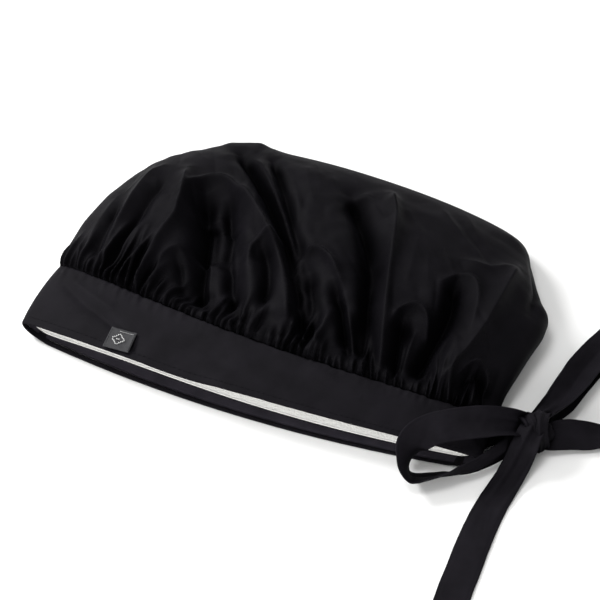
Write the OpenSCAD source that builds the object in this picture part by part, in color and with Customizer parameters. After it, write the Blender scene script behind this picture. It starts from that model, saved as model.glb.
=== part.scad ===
// Gathered tie-back kitchen cap, lying flattened on its side.
// X runs from the folded front of the band to the tied back, Y from the open
// mouth to the top of the crown, and Z up from the table that it lies on.

/* [Band] */
// Distance from the middle of the cap to the front fold of the band
front_x = 147; // [135:1:155]
// Distance from the middle of the cap to the back end of the band
back_x = 136; // [130:1:140]
// Height of the flattened band at its rim
rim_h = 23; // [20:1:24]
// Height of the flattened band at the seam with the crown
seam_h = 28; // [26:1:30]
// Thickness of the band's outer cloth and of its facing
cloth = 0.6; // [0.4:0.1:0.7]
// Thickness of the fusible stiffener between them
stiffener = 0.4; // [0.3:0.1:0.5]
// Thickness of the towelling sweatband
towelling = 1.4; // [1:0.1:1.6]

/* [Crown] */
// Greatest height of the flattened crown
crown_h = 44; // [40:1:46]
// Distance from the middle of the cap to the far edge of the crown
crown_y = 104; // [98:1:106]
// Thickness of the gathered crown cloth
crown_wall = 1.5; // [1.2:0.1:1.6]

/* [Ties] */
// Width of each tie
tie_w = 18; // [16:1:20]
// Thickness of each double-layer tie
tie_t = 1.2; // [1:0.1:1.4]
// Length of the near tail beyond the knot
near_tail = 165; // [120:5:180]
// Length of the far tail beyond the knot
far_tail = 160; // [120:5:180]

/* [Label] */
// Width of the woven label along the rim
label_w = 16; // [14:1:18]
// Height of the woven label up the band
label_l = 14; // [12:1:15]
// Thickness of the woven label
label_t = 0.5; // [0.4:0.1:0.6]

/* [Hidden] */

CLOTH_COLOR = [0.03, 0.03, 0.035];
around = 52;                                   // points round each section
facing_in = cloth + stiffener;                 // how deep the facing starts
towel_in = facing_in + cloth;                  // how deep the towelling starts
towel_from = 0.27;                             // share of the band below the towelling
stiff_from = 0.05;                             // share below the stiffener
edge_to = 0.95;                                // share where both of them end

// Plan outline of the crown, as shares of the way from the seam to the far edge.
LEFT = [
    [0, front_x - 3], [0.12, front_x - 2.5], [0.28, front_x - 4], [0.46, front_x - 9],
    [0.6, front_x - 15], [0.72, front_x - 22], [0.82, front_x - 33], [0.9, front_x - 50],
    [0.95, front_x - 66], [1, front_x - 88]
];
RIGHT = [
    [0, back_x], [0.17, back_x + 2], [0.27, back_x + 5], [0.38, back_x + 8],
    [0.5, back_x + 12], [0.59, back_x + 12.5], [0.64, back_x + 7], [0.76, back_x - 1],
    [0.88, back_x - 9], [0.96, back_x - 15], [1, back_x - 20]
];
HEIGHT = [
    [0, seam_h], [0.1, seam_h + 5], [0.25, crown_h - 4], [0.45, crown_h],
    [0.65, crown_h - 2], [0.8, crown_h - 6], [0.9, crown_h - 12], [0.96, crown_h - 18],
    [1, 17]
];
BAND_STEPS = [0, stiff_from, towel_from, 0.5, 0.75, edge_to, 1];
CROWN_STEPS = [0, 0.08, 0.18, 0.3, 0.42, 0.54, 0.65, 0.75, 0.83, 0.9, 0.95, 0.98, 1];

// Curves of the three edges that cross the cap from front to back.
function rim_y(x) = -95.5 + 0.0006 * pow(x - 10, 2);
function seam_y(x) = -65.5 + 0.00065 * pow(x - 70, 2);
function far_y(x) = crown_y - (x < -62 ? 0.0016 : 0.00065) * pow(x + 62, 2);

function mix(a, b, t) = a + (b - a) * t;
function power(v, p) = sign(v) * pow(abs(v), p);

// A flattened section: flat below and domed above, with its two folds "edge" high.
// A sharpness of 0 gives full folds and 1 gives the pointed folds of the mouth.
function section(left, right, height, edge, sharp, inset, a) =
    let (
        middle = (right - left) / 2,
        half = (right + left) / 2 - inset,
        across = middle + half * power(cos(a), 0.8 + 0.2 * sharp),
        up = a <= 180
            ? edge + (height - inset - edge) * power(sin(a), 0.75 + 0.45 * sharp)
            : max(inset, edge * (1 - 1.7 * power(-sin(a), 0.8)))
    )
    [across, up];

// A point of the band, s from the rim to the seam.
function band_point(s, inset, a) =
    let (
        left = front_x - 1 - 2 * s + 8 * s * (1 - s),
        p = section(
            left, back_x, mix(rim_h, seam_h, s), 0.36 * seam_h, 1 - s, inset, a
        )
    )
    [p.x, mix(rim_y(p.x), seam_y(p.x), s), p.y];

// A point of the crown, t from the seam to the far edge.
function crown_point(t, inset, a) =
    let (
        height = lookup(t, HEIGHT),
        p = section(
            lookup(t, LEFT), lookup(t, RIGHT), height, 0.36 * height, 0, inset, a
        )
    )
    [p.x, mix(seam_y(p.x), far_y(p.x) - inset, t), p.y];

function angles() = [for (i = [0 : around - 1]) 360 * i / around];

// Skin over a list of rings, counted from ring number "first".
function skin(rings, first, outward) = [
    for (r = [first : first + rings - 2], i = [0 : around - 1])
        let (
            a = r * around + i,
            b = r * around + (i + 1) % around,
            c = b + around,
            d = a + around
        )
        each outward ? [[a, b, c], [a, c, d]] : [[c, b, a], [d, c, a]]
];

// Strip that joins two rings.
function lip(outer, inner, flip) = [
    for (i = [0 : around - 1])
        let (
            a = outer * around + i,
            b = outer * around + (i + 1) % around,
            c = inner * around + (i + 1) % around,
            d = inner * around + i
        )
        each flip ? [[c, b, a], [d, c, a]] : [[a, b, c], [a, c, d]]
];

// Fan that closes the last ring, with its hub as point number "hub".
function fan(r, hub, flip) = [
    for (i = [0 : around - 1])
        let (
            a = r * around + i,
            b = r * around + (i + 1) % around
        )
        flip ? [b, a, hub] : [a, b, hub]
];

// Middle of the last ring of a list of points.
function hub_of(points) =
    let (ring = [for (i = [len(points) - around : len(points) - 1]) points[i]])
    [for (p = ring) 1] * ring / around;

// A layer of the band: a sleeve open at both ends.
module band_layer(from, to, outside, inside) {
    steps = [for (s = BAND_STEPS) if (s >= from && s <= to) s];
    n = len(steps);
    points = concat(
        [for (s = steps, a = angles()) band_point(s, outside, a)],
        [for (s = steps, a = angles()) band_point(s, inside, a)]
    );
    polyhedron(
        points,
        concat(
            skin(n, 0, true), skin(n, n, false),
            lip(0, n, true), lip(n - 1, 2 * n - 1, false)
        )
    );
}

// The crown: a gathered bag, open where it meets the band.
module crown_bag() {
    n = len(CROWN_STEPS);
    outer = [for (t = CROWN_STEPS, a = angles()) crown_point(t, 0, a)];
    inner = [for (t = CROWN_STEPS, a = angles()) crown_point(0.975 * t, crown_wall, a)];
    outer_hub = 2 * n * around;
    polyhedron(
        concat(outer, inner, [hub_of(outer), hub_of(inner)]),
        concat(
            skin(n, 0, true), skin(n, n, false), lip(0, n, true),
            fan(n - 1, outer_hub, false), fan(2 * n - 1, outer_hub + 1, true)
        )
    );
}

// A smooth value between p[i] and p[i + 1] of a list of vectors.
function between(p, i, t) =
    let (
        n = len(p) - 1,
        a = p[max(i - 1, 0)],
        b = p[i],
        c = p[min(i + 1, n)],
        d = p[min(i + 2, n)]
    )
    0.5 * (
        2 * b + (c - a) * t + (2 * a - 5 * b + 4 * c - d) * t * t
        + (3 * b - a - 3 * c + d) * t * t * t
    );

function refine(p, parts) = concat(
    [for (i = [0 : len(p) - 2], j = [0 : parts - 1]) between(p, i, j / parts)],
    [p[len(p) - 1]]
);

function unit(v) = v / norm(v);

// A strap along a route. Each route point is [centre, direction across, share of width].
module strap(route, parts = 3) {
    centres = refine([for (r = route) r[0]], parts);
    sides = refine([for (r = route) unit(r[1])], parts);
    widths = refine([for (r = route) tie_w * r[2]], parts);
    last = len(centres) - 1;
    corners = [
        for (i = [0 : last])
            let (
                along = unit(centres[min(i + 1, last)] - centres[max(i - 1, 0)]),
                raw = sides[i] - along * (sides[i] * along),
                across = unit(raw) * widths[i] / 2,
                up = unit(cross(along, across)) * tie_t / 2
            )
            each [
                centres[i] - across - up, centres[i] + across - up,
                centres[i] + across + up, centres[i] - across + up
            ]
    ];
    polyhedron(
        corners,
        concat(
            [
                for (i = [0 : last - 1], j = [0 : 3])
                    let (
                        a = 4 * i + (j + 1) % 4,
                        b = 4 * i + j
                    )
                    each [[a, b, b + 4], [a, b + 4, a + 4]]
            ],
            [
                [0, 1, 2], [0, 2, 3],
                [4 * last + 2, 4 * last + 1, 4 * last],
                [4 * last + 3, 4 * last + 2, 4 * last]
            ]
        )
    );
}

// Routes of the ties, in round numbers. Each tie narrows where it enters the knot.
KNOT = [157, -58, 10.5];
UPPER_END = [
    [[124, -70, 17.5], [0, 1, 0.1], 1],
    [[138, -65, 20], [-0.2, 1, 0.1], 1],
    [[152, -59, 14], [-0.1, 1, 0.4], 0.8]
];
LOWER_END = [
    [[130, -71, 9], [-0.3, 1, 0], 1],
    [[140, -63, 11], [-0.6, 0.8, 0], 1],
    [[150, -57, 11], [-0.5, 0.8, -0.1], 0.8]
];
LOOP_NEAR = [
    [[141, -68, 25.5], [-0.25, 0.9, 0.3], 0.8],
    [[131, -74, 27], [-0.25, 0.85, 0.4], 0.9],
    [[119, -81, 28.5], [-0.25, 0.8, 0.45], 1],
    [[107, -89, 28], [-0.45, 0.7, 0.5], 1],
    [[100, -98, 24.5], [-0.75, -0.1, 0.5], 1],
    [[99.5, -103.5, 17], [-0.25, -0.75, 0.5], 1],
    [[103, -106.5, 9], [0.15, -0.9, 0.4], 1],
    [[112, -103.5, 7], [0.25, -0.85, 0.45], 1],
    [[120, -99.5, 7.5], [0.2, -0.6, 0.75], 0.85],
    [[128, -95.5, 8.5], [0.15, -0.3, 0.95], 0.8],
    [[133, -92.5, 8.5], [0.1, -0.1, 1], 0.75]
];
LOOP_FAR = [
    [[164, -42.5, 12], [0.9, -0.35, 0.2], 0.6],
    [[169.5, -26, 10.5], [0.92, -0.3, 0.1], 0.95],
    [[175, -5, 9.5], [0.93, -0.28, 0], 1],
    [[181, 14, 8.5], [0.93, -0.28, 0], 1],
    [[187, 31, 6.5], [0.93, -0.28, 0], 1],
    [[188.5, 36, 3.8], [0.93, -0.28, 0], 1],
    [[186, 29, 1.8], [0.93, -0.28, 0], 1],
    [[174, -4, 1.4], [0.93, -0.28, 0], 1],
    [[168, -26, 2], [0.95, -0.25, 0], 0.9],
    [[163, -41, 5], [1, -0.1, 0], 0.6]
];
TAIL_NEAR_ROOT = [152, -74, 6.5];
TAIL_NEAR = [
    [TAIL_NEAR_ROOT, [1, 0.2, 0], 0.7],
    [[150.5, -86, 3.5], [1, 0.2, 0], 0.75],
    [[148.5, -98, 1.6], [1, 0.15, 0], 0.85],
    [[146.5, -114, 1], [1, 0.1, 0], 0.95],
    [[145, -140, 1], [1, 0, 0], 1],
    [[143.5, TAIL_NEAR_ROOT.y - near_tail / 2 - 32, 1], [1, 0, 0], 1],
    [[145, TAIL_NEAR_ROOT.y - near_tail, 1], [1, 0.05, 0], 1]
];
TAIL_FAR_ROOT = [173, -54, 7.5];
TAIL_FAR = [
    [TAIL_FAR_ROOT, [-0.2, 0.8, 0.55], 0.8],
    [[186, -47.5, 5.5], [-0.2, 0.85, 0.4], 0.9],
    [[195, -43.5, 3.5], [0, 1, 0], 0.9],
    [[208, -41, 1.6], [0, 1, 0], 0.95],
    [[232, -40, 1], [0, 1, 0], 1],
    [[TAIL_FAR_ROOT.x + far_tail / 2 + 20, -41, 1], [0.1, 1, 0], 1],
    [[TAIL_FAR_ROOT.x + far_tail, -46, 1], [0.1, 1, 0], 1]
];

// Where the label is sewn to the rim, and the slope of the band there.
label_x = -80;
label_gap = 0.9;
label_foot = band_point(0.02, 0, 121);
label_head = band_point(0.45, 0, 119);
label_slope = atan2(label_head.z - label_foot.z, label_head.y - label_foot.y);

module crown() {
    color(CLOTH_COLOR) crown_bag();
}

module band_outer() {
    color(CLOTH_COLOR) band_layer(0, 1, 0, cloth);
}

module band_stiffener() {
    color([0.85, 0.85, 0.82]) band_layer(stiff_from, edge_to, cloth, facing_in);
}

module band_facing() {
    color(CLOTH_COLOR) band_layer(0, 1, facing_in, towel_in);
}

module sweatband() {
    color([0.8, 0.79, 0.75])
        band_layer(towel_from, edge_to, towel_in, towel_in + towelling);
}

module woven_label() {
    color([0.3, 0.3, 0.3])
        translate([label_x, label_foot.y, label_foot.z])
            rotate([label_slope, 0, 0])
                translate([-label_w / 2, 0, label_gap])
                    cube([label_w, label_l, label_t]);
}

module tie_end_upper() {
    color(CLOTH_COLOR) strap(UPPER_END);
}

module tie_end_lower() {
    color(CLOTH_COLOR) strap(LOWER_END);
}

// The knot: a soft core with one turn of the tie wrapped round it.
module bow_knot() {
    color(CLOTH_COLOR) translate(KNOT) {
        hull() {
            translate([-4, -2, 0.5]) sphere(r = 8.5, $fn = 20);
            translate([4, 1, -0.5]) sphere(r = 8.5, $fn = 20);
        }
        rotate([0, 0, 20]) rotate([0, 90, 0]) hull() {
            translate([0, 0, -4]) cylinder(r = 8, h = 8, $fn = 28);
            translate([0, 0, -2.5]) cylinder(r = 9.6, h = 5, $fn = 28);
        }
    }
}

module loop_near() {
    color(CLOTH_COLOR) strap(LOOP_NEAR);
}

module loop_far() {
    color(CLOTH_COLOR) strap(LOOP_FAR);
}

module tail_near() {
    color(CLOTH_COLOR) strap(TAIL_NEAR);
}

module tail_far() {
    color(CLOTH_COLOR) strap(TAIL_FAR);
}

crown();
band_outer();
band_stiffener();
band_facing();
sweatband();
woven_label();
tie_end_upper();
tie_end_lower();
bow_knot();
loop_near();
loop_far();
tail_near();
tail_far();
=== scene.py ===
"""Gathered tie-back kitchen cap in black poplin, lying flattened on its side."""
import math

import bpy
import numpy as np
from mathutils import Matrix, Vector


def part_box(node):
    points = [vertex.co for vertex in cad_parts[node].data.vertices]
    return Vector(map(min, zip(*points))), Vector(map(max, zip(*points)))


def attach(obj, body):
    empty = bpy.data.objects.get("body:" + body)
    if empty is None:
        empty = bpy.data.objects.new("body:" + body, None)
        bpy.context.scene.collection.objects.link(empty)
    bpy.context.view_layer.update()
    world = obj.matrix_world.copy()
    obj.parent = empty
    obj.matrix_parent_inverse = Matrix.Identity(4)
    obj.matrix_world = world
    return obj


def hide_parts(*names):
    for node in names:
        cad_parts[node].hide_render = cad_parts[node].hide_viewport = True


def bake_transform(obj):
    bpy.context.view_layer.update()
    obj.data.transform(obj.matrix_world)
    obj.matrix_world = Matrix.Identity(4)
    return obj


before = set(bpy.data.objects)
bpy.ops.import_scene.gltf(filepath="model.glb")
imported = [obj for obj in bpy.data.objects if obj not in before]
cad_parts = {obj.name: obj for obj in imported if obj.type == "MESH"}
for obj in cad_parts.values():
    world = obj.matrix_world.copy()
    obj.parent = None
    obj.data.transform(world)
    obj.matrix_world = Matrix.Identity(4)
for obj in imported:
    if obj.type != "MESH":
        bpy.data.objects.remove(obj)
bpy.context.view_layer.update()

MM = 0.001
RNG = np.random.default_rng(7)

# ---------------------------------------------------------------- sizes, from the frame
BAND_LOW, BAND_HIGH = (np.array(p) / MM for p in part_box("band_outer"))
CROWN_HIGH = np.array(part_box("crown")[1]) / MM
FRONT = -BAND_LOW[0]            # middle of the cap to the front fold, in mm
BACK = BAND_HIGH[0]             # middle of the cap to the band's back end
SEAM_H = BAND_HIGH[2]           # height of the flattened band at the seam
RIM_H = SEAM_H - 5              # and at its rim
CROWN_H = CROWN_HIGH[2] + 0.6
CROWN_Y = CROWN_HIGH[1]
CLOTH = 0.5                     # thickness of one layer of poplin
EDGE = 0.36                     # height of the flattened side edges, as a share of the height
GUTTER = (4.2, 11, 8)           # the crown's hollow past the seam: depth, place, half width
PUFF = (1.2, 8, 6)              # and the soft swelling before it, in the same order
SEAM_TUCK = 1.8                 # how far the gathers dip into the seam
TIE_W, TIE_T = 18.0, 1.1        # width and thickness of a tie
TIE_PARTS = 10                  # steps between two points of a tie's route
KNOT = np.array([157.0, -58.0, 10.5])

# Plan outline and height of the crown, by share of the way from the seam to the far edge.
LEFT = [(0, FRONT - 3), (0.12, FRONT - 2.5), (0.28, FRONT - 4), (0.46, FRONT - 9),
        (0.6, FRONT - 15), (0.72, FRONT - 22), (0.82, FRONT - 33), (0.9, FRONT - 50),
        (0.95, FRONT - 66), (1, FRONT - 88)]
RIGHT = [(0, BACK), (0.17, BACK + 2), (0.27, BACK + 5), (0.38, BACK + 8), (0.5, BACK + 12),
         (0.59, BACK + 12.5), (0.64, BACK + 7), (0.76, BACK - 1), (0.88, BACK - 9),
         (0.96, BACK - 15), (1, BACK - 20)]
HEIGHT = [(0, SEAM_H), (0.1, SEAM_H + 5), (0.25, CROWN_H - 4), (0.45, CROWN_H),
          (0.65, CROWN_H - 2), (0.8, CROWN_H - 6), (0.9, CROWN_H - 12),
          (0.96, CROWN_H - 18), (1, 17)]


def table_at(table, x, soft=0.02):
    """A table's value at x, with the corners between its points rounded."""
    keys, values = np.array(table, float).T
    reach = np.linspace(-soft, soft, 7)
    return sum(np.interp(x + r, keys, values) for r in reach) / len(reach)


def rim_y(x):
    """The rim's line in plan."""
    return -95.5 + 0.0006 * (x - 10) ** 2


def seam_y(x):
    """The seam's line in plan, where the crown meets the band."""
    return -65.5 + 0.00065 * (x - 70) ** 2


def far_y(x):
    """The crown's far edge in plan."""
    return CROWN_Y - np.where(x < -62, 0.0016, 0.00065) * (x + 62) ** 2


def mix(a, b, t):
    return a + (b - a) * t


def step(x, low, high):
    """0 below low, 1 above high, smooth between them."""
    t = np.clip((x - low) / (high - low), 0, 1)
    return t * t * (3 - 2 * t)


def bump(x, height, centre, half_width):
    """A smooth hump along x."""
    return height * np.exp(-(((x - centre) / half_width) ** 2))


def section(left, right, height, edge, sharp, inset, a):
    """Across and up, in a flattened section: flat below, domed above."""
    half = (right + left) / 2 - inset
    c, s = np.cos(a), np.sin(a)
    across = (right - left) / 2 + half * np.sign(c) * np.abs(c) ** (0.8 + 0.2 * sharp)
    top = edge + (height - inset - edge) * np.clip(s, 0, 1) ** (0.75 + 0.45 * sharp)
    low = np.maximum(inset, edge * (1 - 1.7 * np.clip(-s, 0, 1) ** 0.8))
    return across, np.where(s >= 0, top, low)


# ---------------------------------------------------------------- mesh helpers
def new_piece(name, verts, faces, material, body=None):
    """A mesh object from points in mm, riding on body when one is given."""
    mesh = bpy.data.meshes.new(name)
    mesh.from_pydata([tuple(v) for v in np.asarray(verts) * MM], [], faces)
    mesh.validate()
    mesh.shade_smooth()
    piece = bpy.data.objects.new(name, mesh)
    bpy.context.scene.collection.objects.link(piece)
    mesh.materials.append(material)
    if body:
        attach(piece, body)
    return piece


def grid_faces(rows, columns, wrap, start=0, flip=False):
    """Quads over a grid of vertices; flip turns their outer side round."""
    faces = []
    for r in range(rows - 1):
        for c in range(columns if wrap else columns - 1):
            a = start + r * columns + c
            b = start + r * columns + (c + 1) % columns
            quad = (a, b, b + columns, a + columns)
            faces.append(quad[::-1] if flip else quad)
    return faces


def border_loop(rows, columns):
    """The vertices round the border of a grid, in order."""
    border = ([(0, c) for c in range(columns)] + [(r, columns - 1) for r in range(1, rows)]
              + [(rows - 1, c) for c in range(columns - 2, -1, -1)]
              + [(r, 0) for r in range(rows - 2, 0, -1)])
    return [r * columns + c for r, c in border]


def solidify(piece, thickness):
    """Give an open surface its cloth thickness, on its inner side."""
    shell = piece.modifiers.new("thickness", "SOLIDIFY")
    shell.thickness = thickness * MM
    shell.offset = -1.0
    shell.use_even_offset = False


def catmull(points, parts):
    """A smooth line through points, with parts steps between each two."""
    p = np.array(points, float)
    out = []
    for i in range(len(p) - 1):
        a, b = p[max(i - 1, 0)], p[i]
        c, d = p[i + 1], p[min(i + 2, len(p) - 1)]
        for t in np.arange(parts) / parts:
            out.append(0.5 * (2 * b + (c - a) * t + (2 * a - 5 * b + 4 * c - d) * t**2
                              + (3 * b - a - 3 * c + d) * t**3))
    out.append(p[-1])
    return np.array(out)


def unit(v):
    return v / (np.linalg.norm(v, axis=-1, keepdims=True) + 1e-9)


def wobble(x, y, size, seed):
    """Smooth noise from -1 to 1 over (x, y), with lumps about as wide as size."""
    rng = np.random.default_rng(seed)
    total = 0
    for octave in range(3):
        for _ in range(4):
            turn, shift = rng.uniform(0, math.tau, 2)
            k = math.tau / size * 2**octave * rng.uniform(0.7, 1.3)
            total = total + np.sin(k * (x * math.cos(turn) + y * math.sin(turn)) + shift
                                   + 0.8 * np.sin(0.6 * k * y + shift)) / 2**octave
    return total / 5


# ---------------------------------------------------------------- materials
def nodes_of(name):
    material = bpy.data.materials.new(name)
    material.use_nodes = True
    tree = material.node_tree
    tree.nodes.clear()
    out = tree.nodes.new("ShaderNodeOutputMaterial")
    shader = tree.nodes.new("ShaderNodeBsdfPrincipled")
    tree.links.new(shader.outputs[0], out.inputs[0])
    return material, tree, shader


def add(tree, kind, **values):
    node = tree.nodes.new(kind)
    for key, value in values.items():
        if key in node.inputs:
            node.inputs[key].default_value = value
        else:
            setattr(node, key, value)
    return node


def paint_fold_shade(tree, shader, colour, painted_recess_shade, specular):
    """Painted shade: deepen a colour and its shine by ambient occlusion where the surface is
    closed in by its own folds.
    """
    open_sky = add(tree, "ShaderNodeAmbientOcclusion", samples=6, Distance=0.024)
    span = add(tree, "ShaderNodeMapRange")
    span.inputs["From Min"].default_value = 0.45
    span.inputs["From Max"].default_value = 0.97
    span.inputs["To Min"].default_value = 1 - painted_recess_shade
    tree.links.new(open_sky.outputs["AO"], span.inputs["Value"])
    deep = add(tree, "ShaderNodeVectorMath", operation="SCALE")
    tree.links.new(colour, deep.inputs[0])
    tree.links.new(span.outputs["Result"], deep.inputs["Scale"])
    tree.links.new(deep.outputs["Vector"], shader.inputs["Base Color"])
    shine = add(tree, "ShaderNodeMath", operation="MULTIPLY")
    shine.inputs[1].default_value = specular
    tree.links.new(span.outputs["Result"], shine.inputs[0])
    tree.links.new(shine.outputs[0], shader.inputs["Specular IOR Level"])


def woven(name, dark, light, pitch, rough=0.62, sheen=0.008, bump=0.12, specular=0.045,
          painted_recess_shade=0.0):
    """Plain weave: two thread directions that cross, soft colour drift, a light sheen."""
    material, tree, shader = nodes_of(name)
    place = add(tree, "ShaderNodeTexCoord")
    threads = []
    for direction in ("X", "Y"):
        wave = add(tree, "ShaderNodeTexWave", bands_direction=direction,
                   Scale=2 * math.pi / (20 * pitch * MM), Distortion=0.6)
        wave.inputs["Detail Scale"].default_value = 2.0
        tree.links.new(place.outputs["Object"], wave.inputs["Vector"])
        threads.append(wave)
    cross = add(tree, "ShaderNodeMath", operation="MULTIPLY")
    tree.links.new(threads[0].outputs["Fac"], cross.inputs[0])
    tree.links.new(threads[1].outputs["Fac"], cross.inputs[1])
    drift = add(tree, "ShaderNodeTexNoise", Scale=55.0, Detail=4.0, Roughness=0.6)
    lint = add(tree, "ShaderNodeTexNoise", Scale=1400.0, Detail=3.0, Roughness=0.7)
    for noise in (drift, lint):
        tree.links.new(place.outputs["Object"], noise.inputs["Vector"])
    blend = add(tree, "ShaderNodeMath", operation="MULTIPLY_ADD")
    blend.inputs[1].default_value = 0.45
    tree.links.new(cross.outputs[0], blend.inputs[0])
    tree.links.new(drift.outputs["Fac"], blend.inputs[2])
    ramp = add(tree, "ShaderNodeValToRGB")
    ramp.color_ramp.elements[0].position = 0.3
    ramp.color_ramp.elements[0].color = (*dark, 1)
    ramp.color_ramp.elements[1].position = 0.95
    ramp.color_ramp.elements[1].color = (*light, 1)
    tree.links.new(blend.outputs[0], ramp.inputs[0])
    tree.links.new(ramp.outputs[0], shader.inputs["Base Color"])
    if painted_recess_shade:      # painted shade in the folds: the photo's folds are darker than even light makes them
        paint_fold_shade(tree, shader, ramp.outputs[0], painted_recess_shade, specular)
    height = add(tree, "ShaderNodeMath", operation="MULTIPLY_ADD")
    height.inputs[1].default_value = 0.35
    tree.links.new(lint.outputs["Fac"], height.inputs[0])
    tree.links.new(cross.outputs[0], height.inputs[2])
    relief = add(tree, "ShaderNodeBump", Strength=bump * 3, Distance=0.00012)
    tree.links.new(height.outputs[0], relief.inputs["Height"])
    tree.links.new(relief.outputs[0], shader.inputs["Normal"])
    shader.inputs["Roughness"].default_value = rough
    if not painted_recess_shade:
        shader.inputs["Specular IOR Level"].default_value = specular
    shader.inputs["Sheen Weight"].default_value = sheen
    shader.inputs["Sheen Roughness"].default_value = 0.4
    shader.inputs["Sheen Tint"].default_value = (0.82, 0.78, 1, 1)
    return material


def fluffy(name, dark, light, scale=900.0, relief_height=0.0005, painted_light_glow=0.0):
    """Looped or felted cloth; painted light: a little emission keeps a pale strip, which the
    band above shades, as bright as in the photo.
    """
    material, tree, shader = nodes_of(name)
    place = add(tree, "ShaderNodeTexCoord")
    loops = add(tree, "ShaderNodeTexVoronoi", Scale=scale)
    fluff = add(tree, "ShaderNodeTexNoise", Scale=300.0, Detail=5.0, Roughness=0.7)
    for node in (loops, fluff):
        tree.links.new(place.outputs["Object"], node.inputs["Vector"])
    ramp = add(tree, "ShaderNodeValToRGB")
    ramp.color_ramp.elements[0].color = (*dark, 1)
    ramp.color_ramp.elements[1].color = (*light, 1)
    tree.links.new(fluff.outputs["Fac"], ramp.inputs[0])
    tree.links.new(ramp.outputs[0], shader.inputs["Base Color"])
    relief = add(tree, "ShaderNodeBump", Strength=0.8, Distance=relief_height)
    tree.links.new(loops.outputs["Distance"], relief.inputs["Height"])
    tree.links.new(relief.outputs[0], shader.inputs["Normal"])
    shader.inputs["Roughness"].default_value = 0.95
    # Painted light: the emission brightens the pale cloth where the band above shades it.
    shader.inputs["Emission Color"].default_value = (0.97, 0.97, 0.94, 1)
    shader.inputs["Emission Strength"].default_value = painted_light_glow
    shader.inputs["Sheen Weight"].default_value = 0.3
    return material


DARK, LIGHT = (0.0046, 0.0041, 0.0054), (0.0106, 0.0094, 0.0125)
# Painted shade: the crown and the band are darker copies of the tie's poplin, toned down to
# the light each gets, the crown most.
crown_cloth = woven("crown_poplin", (0.002, 0.0018, 0.0025), (0.0052, 0.0046, 0.0062), 0.34,
                    painted_recess_shade=0.9)
band_cloth = woven("band_poplin", (0.0034, 0.003, 0.004), (0.0078, 0.0069, 0.0093), 0.34,
                   sheen=0.012)
tie_cloth = woven("tie_poplin", DARK, LIGHT, 0.34, painted_recess_shade=0.85)
# Painted light: the facing is the same black poplin made about twice as light, standing in
# for the light that the upper band's overhang keeps off it.
facing_cloth_painted_light = woven("facing_poplin_painted_light", (0.021, 0.0188, 0.0244),
                     (0.048, 0.043, 0.0564), 0.34)
# painted light: the towelling is given a little emission to stay bright under the band
towelling = fluffy("towelling", (0.74, 0.73, 0.7), (0.95, 0.945, 0.93), painted_light_glow=0.26)
fusible = fluffy("fusible_web", (0.55, 0.55, 0.52), (0.72, 0.72, 0.7), 2200.0, 0.00012)
thread = woven("black_thread", (0.005, 0.0045, 0.006), (0.011, 0.01, 0.013), 0.12, 0.6)
label_cloth = woven("label_satin", (0.015, 0.015, 0.0165), (0.031, 0.031, 0.034), 0.28, 0.5,
                    0.04, 0.2, 0.25)
label_light = woven("label_motif", (0.5, 0.5, 0.5), (0.78, 0.78, 0.77), 0.28)

# ---------------------------------------------------------------- camera, floor, lights
CAMERA_AZIMUTH, CAMERA_ELEVATION = math.radians(19.7), math.radians(48)
CAMERA_DISTANCE, CAMERA_LENS = 0.9, 88.56


def toward(azimuth, elevation):
    return Vector((math.sin(azimuth) * math.cos(elevation),
                   -math.cos(azimuth) * math.cos(elevation), math.sin(elevation)))


def aim(obj, target):
    obj.rotation_euler = (Vector(target) - obj.location).to_track_quat("-Z", "Y").to_euler()


camera = bpy.data.objects.new("camera", bpy.data.cameras.new("camera"))
camera.data.lens = CAMERA_LENS
camera.location = toward(CAMERA_AZIMUTH, CAMERA_ELEVATION) * CAMERA_DISTANCE
aim(camera, (0, 0, 0))
bpy.context.scene.collection.objects.link(camera)
bpy.context.scene.camera = camera


def add_light(name, place, size, power):
    lamp = bpy.data.lights.new(name, "AREA")
    lamp.shape = "DISK"
    lamp.size = size
    lamp.energy = power
    obj = bpy.data.objects.new(name, lamp)
    obj.location = place
    aim(obj, (0, 0, 0.01))
    bpy.context.scene.collection.objects.link(obj)


def make_sky():
    """An even studio sky, brighter above and to the left and dimmer low on the right."""
    world = bpy.data.worlds.new("studio")
    world.use_nodes = True
    tree = world.node_tree
    shade = tree.nodes["Background"]
    place = add(tree, "ShaderNodeTexCoord")
    dot = add(tree, "ShaderNodeVectorMath", operation="DOT_PRODUCT")
    dot.inputs[1].default_value = tuple(Vector((-0.5, 0.15, 0.85)).normalized())
    tree.links.new(place.outputs["Generated"], dot.inputs[0])
    spread = add(tree, "ShaderNodeMapRange")
    spread.inputs["From Min"].default_value = -0.3
    spread.inputs["From Max"].default_value = 1.0
    spread.inputs["To Min"].default_value = 0.25
    spread.inputs["To Max"].default_value = 0.7
    tree.links.new(dot.outputs["Value"], spread.inputs["Value"])
    tree.links.new(spread.outputs["Result"], shade.inputs["Strength"])
    shade.inputs["Color"].default_value = (1, 1, 0.995, 1)
    bpy.context.scene.world = world


add_light("window", (-1.05, 0.25, 0.95), 0.5, 19)
add_light("overhead", (-0.25, -0.3, 1.6), 0.5, 9)
add_light("front_fill", (-0.25, -1.45, 0.6), 0.7, 12)
make_sky()
bpy.context.scene.view_settings.view_transform = "Standard"


def make_floor():
    size = 3.0
    mesh = bpy.data.meshes.new("table_top")
    mesh.from_pydata([(-size, -size, 0), (size, -size, 0), (size, size, 0),
                      (-size, size, 0)], [], [(0, 1, 2, 3)])
    floor = bpy.data.objects.new("table_top", mesh)
    material, tree, shader = nodes_of("table_white")
    shader.inputs["Base Color"].default_value = (0.88, 0.88, 0.875, 1)
    shader.inputs["Roughness"].default_value = 0.6
    mesh.materials.append(material)
    bpy.context.scene.collection.objects.link(floor)


make_floor()

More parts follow.
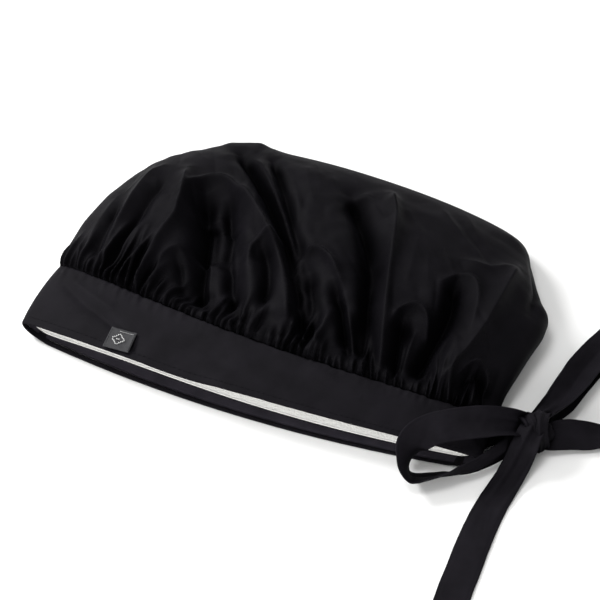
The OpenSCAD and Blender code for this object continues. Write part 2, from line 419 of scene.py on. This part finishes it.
# ---------------------------------------------------------------- folds of the crown
# Each fold is a line over the flattened crown, in mm: (points, height, half width).
# A height above 0 is a ridge, and below 0 a valley.
FOLDS = [
    ([(-127, -38), (-128, -13), (-126, 16)], 2.5, 4),
    ([(-120, -38), (-121, -12), (-121, 10)], -3.5, 3),
    ([(-113, -38), (-115, -12), (-115, 14), (-114, 36), (-110, 50)], 5, 4),
    ([(-106, -44), (-106, -9), (-105, 16), (-102, 34)], -6, 4),
    ([(-94, -42), (-93, -24), (-95, -6)], 3.5, 3),
    ([(-85, -44), (-85, -16), (-84, 8), (-87, 30), (-92, 50)], 6, 4),
    ([(-86, 27), (-84, 38), (-75, 46), (-63, 46), (-50, 36)], 5.5, 3.6),
    ([(-56, 42), (-48, 37), (-33, 21), (-14, -1), (0, -22), (8, -44)], 6, 3.8),
    ([(-76, 38), (-68, 20), (-60, -8), (-46, -50)], -17, 8),
    ([(-60, 38), (-52, 20), (-42, -8), (-26, -48)], -16, 7.5),
    ([(-66, 20), (-60, 2), (-52, -20), (-44, -42)], 3.5, 2.2),
    ([(-46, 6), (-38, -12), (-30, -36)], 3, 2.2),
    ([(-77, -38), (-78, -23), (-73, -15), (-66, -19)], 3.2, 2.8),
    ([(-72, -20), (-66, -30), (-60, -44)], -6, 4),
    ([(-29, -15), (-30, -1), (-23, 8), (-14, 5)], 4, 3),
    ([(-24, 2), (-15, -14), (-8, -42)], -10, 6),
    ([(-68, 80), (-48, 56), (-25, 26), (-4, -6), (10, -34), (18, -52)], -12, 4.5),
    ([(-58, 76), (-41, 56), (-19, 26), (-5, 2)], 4, 3),
    ([(-46, 78), (-27, 48), (-8, 14), (6, -8)], -8, 4),
    ([(2, -11), (2, -2), (7, 5), (18, 1), (29, -12), (41, -33), (53, -57)], 5.5, 3),
    ([(9, -8), (17, -28), (26, -52)], -12, 5.5),
    ([(26, -10), (36, -30), (46, -52)], -10, 4.5),
    ([(13, -14), (20, -34), (30, -56)], 3.5, 2.4),
    ([(9, 42), (12, 56), (21, 63), (33, 60)], 2.5, 4),
    ([(13, 62), (28, 36), (42, 8), (50, -24), (58, -58)], -14, 7),
    ([(35, 70), (44, 48), (50, 22), (56, -7), (68, -58)], 7, 4.2),
    ([(65, -33), (68, -20), (77, -14), (85, -21), (89, -36)], 5, 3),
    ([(71, -22), (73, -39), (77, -62)], -13, 5),
    ([(80, -30), (80, -46), (80, -60)], 3, 2),
    ([(92, 14), (96, -6), (94, -30), (89, -60)], -16, 6.5),
    ([(85, 8), (92, 16), (101, 16), (107, 4), (109, -19)], 4.5, 3.4),
    ([(99, -22), (95, -42), (91, -58)], 4.5, 2.3),
    ([(122, 40), (119, 8), (114, -20), (106, -44), (101, -58)], 8, 5.5),
    ([(122, 40), (108, 30), (90, 28)], 3, 4.5),
    ([(110, -48), (117, -36), (126, -40), (129, -52)], 5, 2.8),
    ([(115, -52), (121, -43), (126, -52)], -10, 4),
    ([(132, -30), (133, -46), (128, -58)], -6, 6),
    ([(127, 66), (133, 46), (138, 28), (138, 10)], -6, 3),
    ([(-68, 24), (-60, 4), (-50, -16)], -12, 16),
    ([(14, -22), (30, -26), (46, -30)], -4, 10),
    ([(72, -30), (84, -30), (94, -22)], -4, 9),
]
FAR_FOLDS = [       # these shape the far outline
    ([(-88, 87), (-76, 94), (-62, 96), (-53, 95)], 6, 8),
    ([(122, 60), (116, 68), (104, 74)], 2.5, 7),
]


def distance_to(line, x, y):
    """How far each (x, y) is from a line, and how far along it the nearest point is."""
    best = np.full(x.shape, 1e9)
    along = np.zeros(x.shape)
    lengths = np.r_[0, np.cumsum(np.linalg.norm(np.diff(line, axis=0), axis=1))]
    for i in range(len(line) - 1):
        a, b = line[i], line[i + 1]
        d = b - a
        t = np.clip(((x - a[0]) * d[0] + (y - a[1]) * d[1]) / (d @ d), 0, 1)
        r = np.hypot(x - a[0] - t * d[0], y - a[1] - t * d[1])
        closer = r < best
        best[closer] = r[closer]
        along[closer] = (lengths[i] + t * (lengths[i + 1] - lengths[i]))[closer]
    return best, along, lengths[-1]


def fold_height(folds, x, y, soft=10):
    """The summed height of folds at (x, y); each gets lower over soft mm at its ends."""
    total = np.zeros(x.shape)
    for points, height, width in folds:
        line = catmull(points, 4)
        r, along, length = distance_to(line, x, y)
        ends = step(along, -1, soft) * step(length - along, -1, soft)
        width = width * (1 + 0.16 * np.sin(along / 9 + points[0][0]))
        power = 1.35 if height > 0 else 1.55
        total += height * np.exp(-((r / width) ** power)) * (0.35 + 0.65 * ends)
    return total


def small_creases(count):
    """Short random creases that run roughly from the seam to the far edge."""
    folds = []
    for _ in range(count):
        x, y = RNG.uniform(-125, 125), RNG.uniform(-40, 75)
        lean = RNG.normal(-0.45, 0.35)
        length = RNG.uniform(14, 45)
        bend = RNG.normal(0, 0.12)
        points = [(x + lean * s * length + bend * s * s * length, y + s * length)
                  for s in (-0.5, 0, 0.5)]
        folds.append((points, RNG.choice([-1, 1]) * RNG.uniform(0.35, 0.95),
                      RNG.uniform(1.6, 4)))
    return folds


def pleats(x, rise):
    """Small gathers that start at the seam: many near it, fewer higher up."""
    total = np.zeros(x.shape)
    place = -FRONT + 3
    while place < BACK - 2:
        pitch = RNG.uniform(2.3, 5.6)
        place += pitch
        reach = RNG.choice([9, 16, 26, 40], p=[0.2, 0.3, 0.3, 0.2]) * RNG.uniform(0.8, 1.2)
        height = RNG.uniform(1.8, 4.4) * (0.7 + reach / 38)
        lean = RNG.uniform(-0.12, 0.12) - 0.12 * math.sin(place / 60)
        centre = place + lean * rise + 0.6 * np.sin(rise / 6 + place)
        width = RNG.uniform(0.75, 1.7) * (0.7 + 0.045 * rise)
        fade = step(rise, -0.8, 1.4) * (1 - step(rise, 0.45 * reach, 1.1 * reach))
        total += height * np.exp(-((np.abs(x - centre) / width) ** 1.7)) * fade
    return total


def crown_surface():
    """Rows from the seam to the far edge; columns once round, starting at the back fold."""
    rows = 190
    top, under = 560, 220
    t = np.linspace(0, 1, rows) ** 1.3
    a = np.r_[np.linspace(0, math.pi, top, endpoint=False),
              np.linspace(math.pi, 2 * math.pi, under, endpoint=False)]
    A, T = np.meshgrid(a, t)
    height = table_at(HEIGHT, T)
    x, z = section(table_at(LEFT, T), table_at(RIGHT, T), height, EDGE * height, 0, 0.0, A)
    y = mix(seam_y(x), far_y(x), T)
    base = np.stack([x, y, z], axis=2)
    du = np.roll(base, -1, axis=1) - np.roll(base, 1, axis=1)
    dv = np.gradient(base, axis=0)
    normal = unit(np.cross(dv, du))
    upper = np.sin(A) > 0
    above = np.clip(np.sin(A), 0, 1) ** 0.5
    rise = y - seam_y(x)
    far = 1 - step(T, 0.84, 0.95)
    lift = fold_height(FOLDS, x, y) * above * step(rise, 0, 12) * far
    lift += fold_height(FAR_FOLDS, x, y) * above * (1 - step(T, 0.95, 1))
    lift += fold_height(small_creases(70), x, y, 5) * above * step(rise, 2, 14) * far
    gutter = step(x, -104, -78) * (0.75 + 0.25 * wobble(x, y * 0.3, 40, 8))
    lift -= gutter * bump(rise, *GUTTER) * above
    lift += 0.5 * wobble(x, y, 34, 5) * above * step(rise, 4, 20) * far
    gathers = pleats(x, rise)
    lift += gathers * above
    lift += bump(rise, *PUFF) * above
    lift -= SEAM_TUCK * (1 - step(rise, 0, 5)) * above
    moved = base + normal * (lift * upper)[:, :, None]
    moved[:, :, 2] += np.where(upper, 0, gathers * 0.4)
    moved[:, :, 2] = np.maximum(moved[:, :, 2], 0.05)
    return moved


def make_crown():
    """The crown's cloth, closed at the far edge and open at the seam."""
    grid = crown_surface()
    rows, columns, _ = grid.shape
    verts = grid.reshape(-1, 3)
    faces = grid_faces(rows, columns, wrap=True, flip=True)
    ring = grid[-1]
    start = (rows - 1) * columns
    for share in (0.6, 0.25):       # rings that close the narrow far end
        centre = ring.mean(axis=0)
        closer = centre + (ring - centre) * np.array([mix(1, share, 0.35), 1, share])
        closer[:, 1] = ring[:, 1] + 0.5 * (1 - share)
        first = len(verts)
        verts = np.vstack([verts, closer])
        for c in range(columns):
            n = (c + 1) % columns
            faces.append((first + c, first + n, start + n, start + c))
        start = first
    hub = len(verts)
    verts = np.vstack([verts, verts[start:start + columns].mean(axis=0)])
    faces += [(hub, start + (i + 1) % columns, start + i) for i in range(columns)]
    piece = new_piece("gathered_crown", verts, faces, crown_cloth, "cap")
    solidify(piece, CLOTH)
    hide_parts("crown")


make_crown()

# ---------------------------------------------------------------- band
BAND_FOLDS = [      # lines, heights and half widths, as for the crown
    ([(-133, -50), (-116, -61), (-99, -69), (-82, -78), (-67, -88)], -1.7, 3.4),
    ([(-128, -48), (-110, -57), (-92, -65)], 1.0, 3.2),
    ([(-40, -72), (-20, -80), (0, -86)], -0.35, 5),
    ([(30, -66), (50, -74), (74, -80)], 0.4, 6),
    ([(96, -64), (104, -72), (110, -80)], -0.4, 4),
]


def band_shape(inset, s, columns=480, reach=0.0):
    """Rows at the shares s from rim to seam; inset can differ from row to row."""
    a = np.linspace(0, 2 * math.pi, columns, endpoint=False)
    A, S = np.meshgrid(a, s)
    if reach:       # the edge comes this much nearer to the rim at the front
        S = S - reach * np.exp(-(((A - 3.5) / 0.55) ** 2)) * (s[-1] - S) / (s[-1] - s[0])
    I = np.broadcast_to(np.reshape(inset, (-1, 1)), A.shape)
    left = FRONT - 1 - 2 * S + 8 * S * (1 - S)
    x, z = section(left, BACK, mix(RIM_H, SEAM_H, S), EDGE * SEAM_H, 1 - S, I, A)
    y = mix(rim_y(x), seam_y(x), S)
    above = np.clip(np.sin(A), 0, 1) ** 0.5
    pucker = 0.75 * wobble(x, y * 0.15, 5.5, 11) * step(S, 0.7, 1)
    y = y + 0.5 * wobble(x, y * 0, 9, 21) * step(S, 0.85, 1)
    sag = -2.2 * np.exp(-(((x + 38) / 24) ** 2)) * (1 - S)
    z = z + above * (fold_height(BAND_FOLDS, x, y, 6) + pucker + sag
                     + 0.25 * wobble(x, y, 26, 3))
    return np.stack([x, y, np.maximum(z, 0.06)], axis=2)


def closed_layer(outer, inner):
    """A closed sleeve between an outer and an inner grid."""
    rows, columns, _ = outer.shape
    n = rows * columns
    faces = grid_faces(rows, columns, True, flip=True) + grid_faces(rows, columns, True, n)
    for row, flip in ((0, False), (rows - 1, True)):
        for c in range(columns):
            a, b = row * columns + c, row * columns + (c + 1) % columns
            quad = (a, b, b + n, a + n)
            faces.append(quad if flip else quad[::-1])
    return np.vstack([outer.reshape(-1, 3), inner.reshape(-1, 3)]), faces


def band_piece(name, node, inset, thickness, low, high, material, rough=0.0,
               reach=0.0):
    """One inner layer of the band, between the shares low and high from rim to seam."""
    s = np.linspace(low, high, 40)
    outer = band_shape(inset, s, reach=reach)
    inner = band_shape(inset + thickness, s, reach=reach)
    if rough:
        inner[:, :, 2] += rough * wobble(inner[:, :, 0], inner[:, :, 1], 2.4, 9)
        inner[:, :, 1] += rough * wobble(inner[:, :, 0], inner[:, :, 2] * 2, 3.1, 4)
    verts, faces = closed_layer(outer, inner)
    piece = new_piece(name, verts, faces, material, "cap")
    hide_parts(node)


def outer_band():
    """The outer cloth, turned over the rim so that its edge meets the facing."""
    turn = [(0.05, 1.55), (0.02, 1.5), (-0.004, 1.35), (-0.016, 1.05), (-0.02, 0.7),
            (-0.015, 0.35), (0.0, 0.08), (0.02, 0.0)]
    s = np.r_[[t[0] for t in turn], np.linspace(0.05, 1, 44)]
    inset = np.r_[[t[1] for t in turn], np.zeros(44)]
    shape = band_shape(inset, s)
    verts = shape.reshape(-1, 3)
    piece = new_piece("band_outer_cloth", verts,
                      grid_faces(len(s), shape.shape[1], True, flip=True), band_cloth, "cap")
    solidify(piece, 0.45)
    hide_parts("band_outer")


outer_band()
band_piece("band_stiffener_layer", "band_stiffener", 0.6, 0.35, 0.05, 0.95, fusible)
band_piece("band_facing_cloth", "band_facing", 1.05, 0.5, 0.06, 1, facing_cloth_painted_light)
band_piece("towelling_sweatband", "sweatband", 1.65, 1.25, 0.27, 0.95, towelling,
           rough=0.22, reach=0.15)


# ---------------------------------------------------------------- stitches
def stitch_row(name, points, up, length, thick, material, body):
    """Short closed stitches along points; up is the outward direction at each."""
    verts, faces = [], []
    gaps = np.linalg.norm(np.diff(points, axis=0), axis=1)
    along = np.r_[0, np.cumsum(gaps)]
    pitch = length * 1.35
    for k in range(int(along[-1] / pitch)):
        start = (k + 0.15) * pitch
        at = np.linspace(start, start + length, 5)
        line = np.stack([np.interp(at, along, points[:, i]) for i in range(3)], axis=1)
        out = unit(np.stack([np.interp(at, along, up[:, i]) for i in range(3)], axis=1))
        arch = np.array([0, 0.8, 1, 0.8, 0]) * thick * 0.75
        girth = np.array([0.35, 0.9, 1, 0.9, 0.35]) * thick / 2
        ahead = unit(np.gradient(line, axis=0))
        side = unit(np.cross(ahead, out))
        first = len(verts)
        for j in range(5):
            for q in range(6):
                turn = math.tau * q / 6
                verts.append(line[j] + out[j] * (arch[j] + girth[j] * math.sin(turn))
                             + side[j] * girth[j] * math.cos(turn))
        for j in range(4):
            for q in range(6):
                a = first + 6 * j + q
                b = first + 6 * j + (q + 1) % 6
                faces.append((a + 6, b + 6, b, a))
        faces.append(tuple(first + q for q in range(6)))
        faces.append(tuple(first + 24 + q for q in range(5, -1, -1)))
    piece = new_piece(name, verts, faces, material, body)


def ring_line(share, inset, low, high):
    """A line round the band at a share from rim to seam, from low to high in degrees."""
    shape = band_shape([inset, inset], np.array([share, share + 0.01]), 900)
    line, near = shape[0], shape[1]
    around = np.gradient(line, axis=0)
    out = unit(np.cross(near - line, around))
    a = np.linspace(0, 360, 900, endpoint=False)
    keep = (a >= low) & (a <= high)
    return line[keep], out[keep]


line, out = ring_line(0.09, -0.1, 8, 176)
stitch_row("rim_topstitch", line, out, 2.4, 0.26, thread, "cap")
line, out = ring_line(0.235, 1.62, 190, 350)
stitch_row("facing_stitch", line, -out, 2.0, 0.36, thread, "cap")


# ---------------------------------------------------------------- label
def make_label():
    low, high = (np.array(p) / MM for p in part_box("woven_label"))
    wide, tall = high[0] - low[0], math.hypot(high[1] - low[1], high[2] - low[2]) - 0.4
    middle = (low[0] + high[0]) / 2
    rows, columns = 26, 28
    u = np.linspace(-1, 1, columns)
    v = np.linspace(0, 1, rows)
    U, V = np.meshgrid(u, v)
    rise, run = high[2] - low[2] - 0.6, high[1] - low[1]
    slope = math.atan2(rise, run)
    up = np.array([0, -math.sin(slope), math.cos(slope)])
    ahead = np.array([0, math.cos(slope), math.sin(slope)])
    base = np.array([middle, low[1] + 0.15, low[2] + 0.1])
    x = U * wide / 2 * (1 - 0.012 * V)
    curl = 0.55 * step(U, 0.55, 1) * (0.4 + 0.6 * V) + 0.25 * step(-U, 0.7, 1) * V
    curl = curl + 0.12 * wobble(U * 8, V * 7, 6, 2)
    sheet = (base + x[:, :, None] * np.array([1, 0, 0]) + (V * tall)[:, :, None] * ahead
             + (0.15 + curl)[:, :, None] * up)
    edge = np.maximum(np.abs(U), np.abs(2 * V - 1)) ** 14
    thick = (0.5 - 0.22 * edge)[:, :, None]
    rib = 0.03 * np.sin(V * tall * 7)[:, :, None]
    top, under = sheet + up * (thick / 2 + rib), sheet - up * thick / 2
    n = rows * columns
    faces = grid_faces(rows, columns, False) + grid_faces(rows, columns, False, n, True)
    loop = border_loop(rows, columns)
    for i, a in enumerate(loop):
        b = loop[(i + 1) % len(loop)]
        faces.append((b, a, a + n, b + n))
    piece = new_piece("woven_label_cloth", np.vstack([top.reshape(-1, 3),
                      under.reshape(-1, 3)]), faces, label_cloth, "label")
    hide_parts("woven_label")

    def on_label(p, q, lift):
        i, j = (p + 1) / 2 * (columns - 1), q * (rows - 1)
        c, r = int(round(i)), int(round(j))
        return sheet[r, c] + up * (0.25 + lift) + np.array([(i - c) * wide / columns, 0, 0])

    def thread_line(name, points, pitch, material, thick=0.3):
        line = np.array([on_label(p, q, 0.02) for p, q in points])
        stitch_row(name, line, np.tile(up, (len(line), 1)), pitch, thick, material,
                   "label")

    def spread(a, b, count):
        return [tuple(p) for p in np.linspace(a, b, count)]

    corners = [(-0.6, 0.48), (-0.12, 0.74), (0.36, 0.48), (-0.12, 0.22), (-0.6, 0.48)]
    diamond = [p for a, b in zip(corners, corners[1:]) for p in spread(a, b, 9)[:-1]]
    thread_line("label_diamond", diamond + corners[:1], 0.9, label_light, 0.8)
    thread_line("label_bar", spread((-0.3, 0.48), (0.08, 0.48), 8), 0.9, label_light, 0.9)
    thread_line("label_stripe", spread((-0.3, 0.9), (0.85, 0.9), 18), 0.5, label_light, 0.3)
    for side, p in (("left", -0.93), ("right", 0.9)):
        line = [(p, q) for q in np.linspace(0.04, 0.96, 16)]
        thread_line("label_stitch_" + side, line, 1.3, label_cloth)


make_label()


# ---------------------------------------------------------------- ties
# A route point is (centre, direction across, share of width, valley depth).
def strap_frames(route, parts):
    """Centres, side and up directions, widths and valley depths along a route."""
    centres = catmull([r[0] for r in route], parts)
    sides = catmull([unit(np.array(r[1], float)) for r in route], parts)
    width = catmull([[r[2]] for r in route], parts)[:, 0]
    valley = catmull([[r[3]] for r in route], parts)[:, 0]
    ahead = unit(np.gradient(centres, axis=0))
    side = unit(sides - ahead * np.sum(sides * ahead, axis=1)[:, None])
    up = unit(np.cross(ahead, side))
    if up[0][2] < 0:
        side, up = -side, -up
    return centres, side, up, width, valley


def strap(name, route, node, body, seed, blend=None):
    """A flat strap along a route; when blend is given the strap rides on no body and its
    transform is baked in, though blend's points are not used.
    """
    centres, side, up, width, valley = strap_frames(route, TIE_PARTS)
    columns = 25
    u = np.linspace(-1, 1, columns)
    length = np.r_[0, np.cumsum(np.linalg.norm(np.diff(centres, axis=0), axis=1))]
    L, U = np.meshgrid(length, u, indexing="ij")
    share = np.clip(width, 0.3, 1)[:, None]
    bunch = 1 - share
    half = TIE_W / 2 * width[:, None]
    lift = valley[:, None] * (np.abs(U) ** 1.25 - 0.4)
    lift = lift + bunch * 3.6 * np.cos(U * 5.2 + 0.9 * math.sin(seed) + L / 31)
    lift = lift + bunch * np.cos(U * 11 + seed + L / 17)
    lift = lift + 0.28 * wobble(L, U * 9, 30, seed) + 0.12 * wobble(L, U * 9, 9, seed + 1)
    seam = np.exp(-(((np.abs(U) - 0.84) / 0.05) ** 2))
    thick = TIE_T * (1 - 0.35 * seam) * (1 - 0.45 * np.abs(U) ** 22)
    across = U * half + 0.22 * wobble(L, U, 24, seed + 2)
    place = centres[:, None] + side[:, None] * across[:, :, None]
    top = place + up[:, None] * (lift + thick / 2)[:, :, None]
    low = place + up[:, None] * (lift - thick / 2)[:, :, None]
    rows = len(centres)
    n = rows * columns
    verts = np.vstack([top.reshape(-1, 3), low.reshape(-1, 3)])
    faces = grid_faces(rows, columns, False, 0, True) + grid_faces(rows, columns, False, n)
    loop = border_loop(rows, columns)
    for i, a in enumerate(loop):
        b = loop[(i + 1) % len(loop)]
        faces.append((a, b, b + n, a + n))
    verts[:, 2] = np.maximum(verts[:, 2], 0.08)
    piece = new_piece(name, verts, faces, tie_cloth, None if blend else body)
    if blend:
        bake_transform(piece)
    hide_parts(node)


NEAR_LOOP = [
    ((155, -59, 16), (-0.1, 0.85, 0.5), 0.7, 3.5),
    ((148, -64, 21), (-0.2, 0.88, 0.42), 0.82, 4.5),
    ((140, -68.5, 24.5), (-0.25, 0.88, 0.38), 0.92, 4),
    ((131, -74, 27), (-0.25, 0.85, 0.4), 1, 2),
    ((119, -81, 28.5), (-0.25, 0.8, 0.45), 1, 0.5),
    ((107, -89, 28), (-0.4, 0.75, 0.5), 1, 0),
    ((100, -97, 25), (-0.75, 0, 0.5), 1, -0.4),
    ((98.5, -103, 18), (-0.4, -0.7, 0.5), 1, -0.4),
    ((100.5, -107, 9.5), (0.1, -0.8, 0.55), 0.95, -0.2),
    ((106, -106.5, 6.3), (0.2, -0.75, 0.6), 0.95, 0),
    ((120, -99.5, 7), (0.2, -0.6, 0.75), 0.85, 0.8),
    ((128, -95.5, 8.3), (0.15, -0.3, 0.95), 0.85, 1.5),
    ((136, -89, 9), (0.1, -0.1, 1), 0.85, 2),
    ((144, -79, 9.5), (0, 0.1, 1), 0.8, 2),
    ((152, -66, 10.5), (0, 0.1, 1), 0.7, 1.5),
]
FAR_LOOP = [
    ((158, -56, 17), (0.9, -0.35, 0.2), 0.6, 1.5),
    ((161.5, -49, 17), (0.9, -0.35, 0.2), 0.66, 2.5),
    ((165, -40, 14), (0.9, -0.35, 0.15), 0.78, 4),
    ((169.5, -26, 11.5), (0.92, -0.3, 0.1), 0.95, 5.5),
    ((175, -5, 10.5), (0.93, -0.28, 0), 1.03, 5.5),
    ((181, 14, 9), (0.93, -0.28, 0), 1, 4),
    ((187, 31, 6.5), (0.93, -0.28, 0), 1, 1.2),
    ((188.5, 36, 3.8), (0.93, -0.28, 0), 1, 0),
    ((186, 29, 1.8), (0.93, -0.28, 0), 1, 0),
    ((174, -4, 1.4), (0.93, -0.28, 0), 1, 0),
    ((168, -26, 2), (0.95, -0.25, 0), 0.9, -0.4),
    ((163, -41, 5), (1, -0.1, 0), 0.7, -1),
    ((160, -51, 8), (1, -0.1, 0), 0.6, -1),
]
NEAR_TAIL = [
    ((160, -58, 20), (0.85, 0.45, -0.3), 0.7, -1.5),
    ((158, -65.5, 20), (0.95, 0.3, -0.1), 0.78, -1.2),
    ((156.5, -72.5, 15), (1, 0.2, 0), 0.84, 0.4),
    ((155, -79, 8), (1, 0.2, 0), 0.86, 1),
    ((153, -87, 3.8), (1, 0.2, 0), 0.86, 0.8),
    ((150.3, -98, 1.7), (1, 0.15, 0), 0.9, 0.4),
    ((147.3, -114, 1), (1, 0.1, 0), 0.96, 0),
    ((145, -140, 1), (1, 0, 0), 1, 0),
    ((143.5, -188.5, 1), (1, 0, 0), 1, 0),
    ((145, -238.5, 1), (1, 0.05, 0), 1, 0),
]
FAR_TAIL = [
    ((161, -59, 9), (-0.2, 0.7, 0.7), 0.7, 2.5),
    ((167, -57, 9), (-0.2, 0.75, 0.65), 0.85, 3),
    ((174, -53, 8.5), (-0.2, 0.78, 0.6), 0.95, 2.5),
    ((186, -47.5, 6), (-0.2, 0.85, 0.4), 0.92, 1.6),
    ((195, -43.5, 3.8), (0, 1, 0), 0.85, 1.2),
    ((208, -41, 1.8), (0, 1, 0), 0.95, 0.4),
    ((232, -40, 1), (0, 1, 0), 1, 0),
    ((273, -41, 1), (0.1, 1, 0), 1, 0),
    ((333, -46, 1), (0.1, 1, 0), 1, 0),
]
UPPER_END = [
    ((124, -70, 17.5), (0, 1, 0.1), 1, 0),
    ((138, -65, 19), (-0.2, 1, 0.1), 0.95, 1),
    ((147, -61, 16), (-0.1, 1, 0.4), 0.75, 2),
    ((153, -58, 13), (-0.1, 1, 0.4), 0.6, 1),
]
LOWER_END = [
    ((130, -71, 9), (-0.3, 1, 0), 1, 0),
    ((140, -63, 11), (-0.6, 0.8, 0), 0.95, 0.8),
    ((147, -58, 11), (-0.5, 0.8, -0.1), 0.7, 1.5),
    ((152, -57, 11), (-0.5, 0.8, -0.1), 0.5, 1),
]
strap("tie_near_loop", NEAR_LOOP, "loop_near", "near_loop", 3,
      blend=((151, -64, 14), (126, -81, 14)))
strap("tie_far_loop", FAR_LOOP, "loop_far", "far_loop", 5,
      blend=((157, -58, 10), (167, -33, 10)))
strap("tie_near_tail", NEAR_TAIL, "tail_near", "near_tail", 8,
      blend=((156.5, -61, 10), (151, -84, 10)))
strap("tie_far_tail", FAR_TAIL, "tail_far", "far_tail", 11,
      blend=((160, -58, 10), (181, -51, 10)))
strap("tie_end_top", UPPER_END, "tie_end_upper", "cap", 13)
strap("tie_end_under", LOWER_END, "tie_end_lower", "cap", 15)


# ---------------------------------------------------------------- knot
def knot_core():
    """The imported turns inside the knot, as a lumpy closed form."""
    rows, columns = 40, 64
    p = np.linspace(0, math.pi, rows + 2)[1:-1]
    q = np.linspace(0, math.tau, columns, endpoint=False)
    P, Q = np.meshgrid(p, q, indexing="ij")
    d = np.stack([np.sin(P) * np.cos(Q), np.sin(P) * np.sin(Q), np.cos(P)], axis=2)
    radius = 1 + 0.07 * np.sin(5 * Q + 2 * P) + 0.05 * np.sin(9 * P + 3 * Q)
    turn = math.radians(20)
    along = np.array([math.cos(turn), math.sin(turn), 0])
    aside = np.array([-math.sin(turn), math.cos(turn), 0])
    up = np.array([0, 0, 1.0])
    body = (along * (d[:, :, :1] * 12) + aside * (d[:, :, 1:2] * 9)
            + up * (d[:, :, 2:] * 8.8)) * radius[:, :, None] + KNOT
    verts = np.vstack([body.reshape(-1, 3), KNOT + up * 8.8, KNOT - up * 8.8])
    faces = grid_faces(rows, columns, True, 0, True)
    n = rows * columns
    last = n - columns
    for c in range(columns):
        faces.append((n, c, (c + 1) % columns))
        faces.append((n + 1, last + (c + 1) % columns, last + c))
    verts[:, 2] = np.maximum(verts[:, 2], 0.9)
    piece = new_piece("knot_core", verts, faces, tie_cloth, "cap")
    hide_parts("bow_knot")


def knot_wrap(name, tilt, lean, radius, width, shift, seed):
    """One turn of tie round the knot, creased along its length."""
    columns, rows = 21, 120
    t = np.linspace(0, math.tau, rows, endpoint=False)
    u = np.linspace(-1, 1, columns)
    T, U = np.meshgrid(t, u, indexing="ij")
    axis = unit(np.array([math.cos(tilt), math.sin(tilt), lean]))
    first = unit(np.cross(np.array([0, 0, 1.0]), axis))
    second = np.cross(axis, first)
    crease = 0.7 * np.cos(U * 5 + 0.8 * np.sin(T * 2 + seed)) + 0.25 * np.cos(U * 12 + T * 2)
    r = radius + crease + 0.5 * np.sin(3 * T + seed) - 1.8 * np.abs(U) ** 3
    squeeze = 1 - 0.12 * np.cos(2 * T)
    wide = width / 2 * (1 + 0.14 * np.sin(T + seed))
    centre = KNOT + axis * shift

    def ring(extra):
        rr = (r + extra) * squeeze
        return (centre + first * (rr * np.cos(T))[:, :, None]
                + second * (rr * np.sin(T))[:, :, None]
                + axis * (U * wide + 0.8 * np.sin(2 * T + seed))[:, :, None])

    outer, inner = ring(0.5), ring(-0.5)
    n = rows * columns
    verts = np.vstack([outer.reshape(-1, 3), inner.reshape(-1, 3)])
    faces = []
    for i in range(rows):
        j = (i + 1) % rows
        for c in range(columns - 1):
            a, b = i * columns + c, j * columns + c
            faces.append((a, b, b + 1, a + 1))
            faces.append((a + n + 1, b + n + 1, b + n, a + n))
        for c, flip in ((0, False), (columns - 1, True)):
            a, b = i * columns + c, j * columns + c
            quad = (b, a, a + n, b + n)
            faces.append(quad[::-1] if flip else quad)
    verts[:, 2] = np.maximum(verts[:, 2], 0.4)
    piece = new_piece(name, verts, faces, tie_cloth, "cap")


knot_core()
knot_wrap("knot_wrap_right", math.radians(14), 0.12, 10.8, 11, 4.6, 1.0)
knot_wrap("knot_wrap_left", math.radians(40), -0.2, 10.2, 12, -3.0, 2.6)
